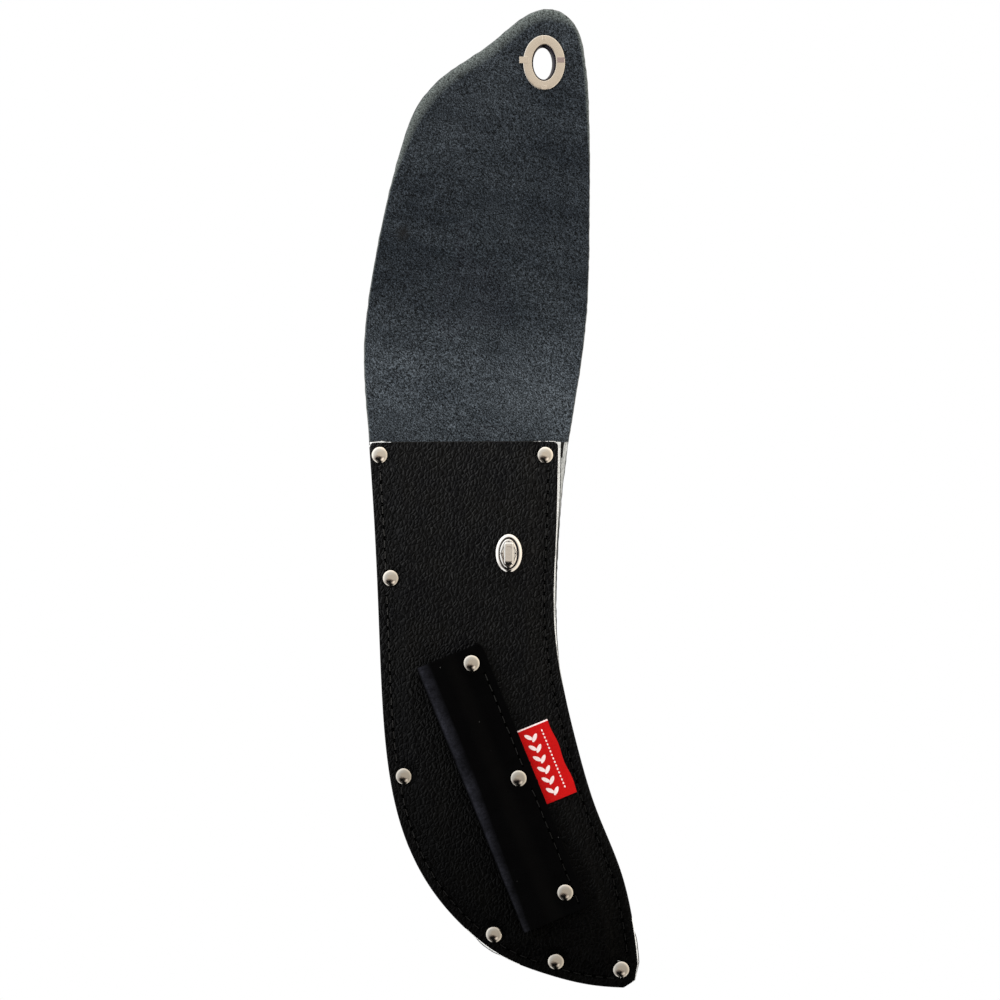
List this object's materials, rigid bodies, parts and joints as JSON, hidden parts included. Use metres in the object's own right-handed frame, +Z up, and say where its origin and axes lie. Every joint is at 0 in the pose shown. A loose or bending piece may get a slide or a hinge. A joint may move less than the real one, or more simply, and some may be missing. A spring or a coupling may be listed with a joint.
{
  "type": "tool sheath",
  "caption": "Curved leather belt sheath for a hori hori digging knife, with a long fold-over flap, a turn-button closure and a slanted sleeve for a sharpener.",
  "frame": {"origin": "centre of the belt slot, midway between the back panel and the belt loop", "axes": "+X to the right seen from the front, +Z up as the sheath hangs on a belt, front faces -Y"},
  "size_m": [0.1338, 0.0307, 0.4797],
  "materials": {
    "suede_hide": "charcoal suede inside, black grain outside",
    "pebbled_hide": "black pebble grain, low gloss",
    "smooth_hide": "smooth matt black",
    "welt_hide": "raw pale grey cut edge",
    "woven_label": "red woven ribbon with a plain pale motif",
    "black_thread": "waxed polyester thread",
    "nickel": "bright nickel plate",
    "warm_nickel": "polished warm nickel plate"
  },
  "bodies": {
    "sheath": {"back_panel": "suede_hide", "welt": "welt_hide", "front_panel": "pebbled_hide", "belt_loop": "pebbled_hide", "sharpener_sleeve": "smooth_hide", "label": "woven_label", "turn_button_base": "nickel", "turn_button_backplate": "nickel", "body_needle_thread": "black_thread", "body_bobbin_thread": "black_thread", "sleeve_thread": "black_thread", "body_rivet_1_cap": "warm_nickel", "body_rivet_1_pin": "warm_nickel", "body_rivet_2_cap": "warm_nickel", "body_rivet_2_pin": "warm_nickel", "body_rivet_3_cap": "warm_nickel", "body_rivet_3_pin": "warm_nickel", "body_rivet_4_cap": "warm_nickel", "body_rivet_4_pin": "warm_nickel", "body_rivet_5_cap": "warm_nickel", "body_rivet_5_pin": "warm_nickel", "body_rivet_6_cap": "warm_nickel", "body_rivet_6_pin": "warm_nickel", "body_rivet_7_cap": "warm_nickel", "body_rivet_7_pin": "warm_nickel", "sleeve_rivet_1_cap": "warm_nickel", "sleeve_rivet_1_pin": "warm_nickel", "sleeve_rivet_2_cap": "warm_nickel", "sleeve_rivet_2_pin": "warm_nickel", "sleeve_rivet_3_cap": "warm_nickel", "sleeve_rivet_3_pin": "warm_nickel", "belt_rivet_1_cap": "warm_nickel", "belt_rivet_1_pin": "warm_nickel", "belt_rivet_2_cap": "warm_nickel", "belt_rivet_2_pin": "warm_nickel", "belt_rivet_3_cap": "warm_nickel", "belt_rivet_3_pin": "warm_nickel", "belt_rivet_4_cap": "warm_nickel", "belt_rivet_4_pin": "warm_nickel"},
    "fold_strip_1": {"fold_strip_1": "suede_hide"},
    "fold_strip_2": {"fold_strip_2": "suede_hide"},
    "flap": {"flap": "suede_hide", "eyelet": "warm_nickel", "eyelet_washer": "warm_nickel"},
    "knob": {"turn_button_knob": "nickel"}
  },
  "joints": [
    {"name": "fold_lower", "type": "hinge", "parent": "sheath", "child": "fold_strip_1", "pos_m": [0.02979, -0.00509, 0.09817], "axis": [0.9974, 0, -0.0718], "range_deg": [0, 60]},
    {"name": "fold_middle", "type": "hinge", "parent": "fold_strip_1", "child": "fold_strip_2", "pos_m": [0.03035, -0.00509, 0.1059], "axis": [0.9974, 0, -0.0718], "range_deg": [0, 60]},
    {"name": "fold_upper", "type": "hinge", "parent": "fold_strip_2", "child": "flap", "pos_m": [0.03091, -0.00509, 0.11363], "axis": [0.9974, 0, -0.0718], "range_deg": [0, 60]},
    {"name": "knob_turn", "type": "hinge", "parent": "sheath", "child": "knob", "pos_m": [0.0217, -0.0219, -0.0143], "axis": [0, -1, 0], "range_deg": [0, 90]}
  ],
  "couplings": [
    {"joint": "fold_middle", "follows": "fold_lower", "ratio": 1},
    {"joint": "fold_upper", "follows": "fold_lower", "ratio": 1}
  ]
}
